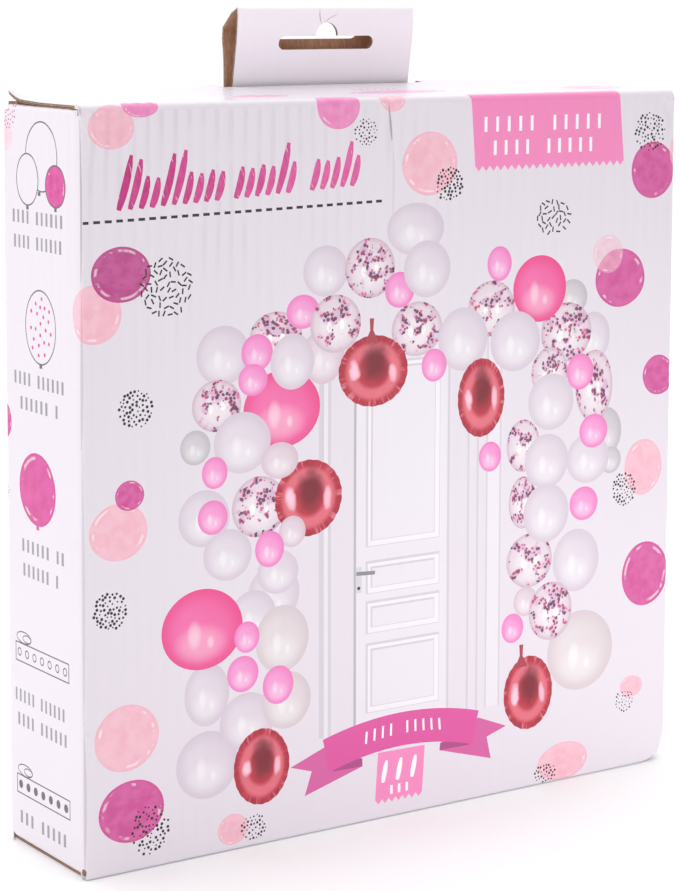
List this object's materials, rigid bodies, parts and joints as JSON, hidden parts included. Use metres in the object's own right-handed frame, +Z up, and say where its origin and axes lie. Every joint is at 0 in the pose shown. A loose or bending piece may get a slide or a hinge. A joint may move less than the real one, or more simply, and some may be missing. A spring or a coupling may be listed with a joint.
{
  "type": "corrugated hanging carton",
  "caption": "Flat upright retail carton of printed corrugated board, empty, with a tuck-in top flap and a doubled hang tab with a hook slot.",
  "frame": {"origin": "middle of the carton's underside", "axes": "+Z up to the hang tab, -Y out of the printed front panel, +X to the right seen from the front"},
  "size_m": [0.3, 0.0668, 0.3419],
  "materials": {
    "printed_board": "gloss-coated white corrugated board, printed in pinks, with faint flute lines",
    "coated_board": "white coated corrugated board, unprinted, kraft brown inside",
    "kraft_board": "bare brown kraft liner"
  },
  "bodies": {
    "carton": {"carton_body": "printed_board", "hang_tab": "coated_board", "upper_dust_flap_left": "coated_board", "upper_dust_flap_right": "coated_board", "lower_dust_flap_left": "kraft_board", "lower_dust_flap_right": "kraft_board"},
    "lid": {"top_flap": "printed_board"}
  },
  "joints": [
    {"name": "lid_crease", "type": "hinge", "parent": "carton", "child": "lid", "pos_m": [0, -0.0317, 0.3022], "axis": [1, 0, 0], "range_deg": [0, 110]}
  ]
}
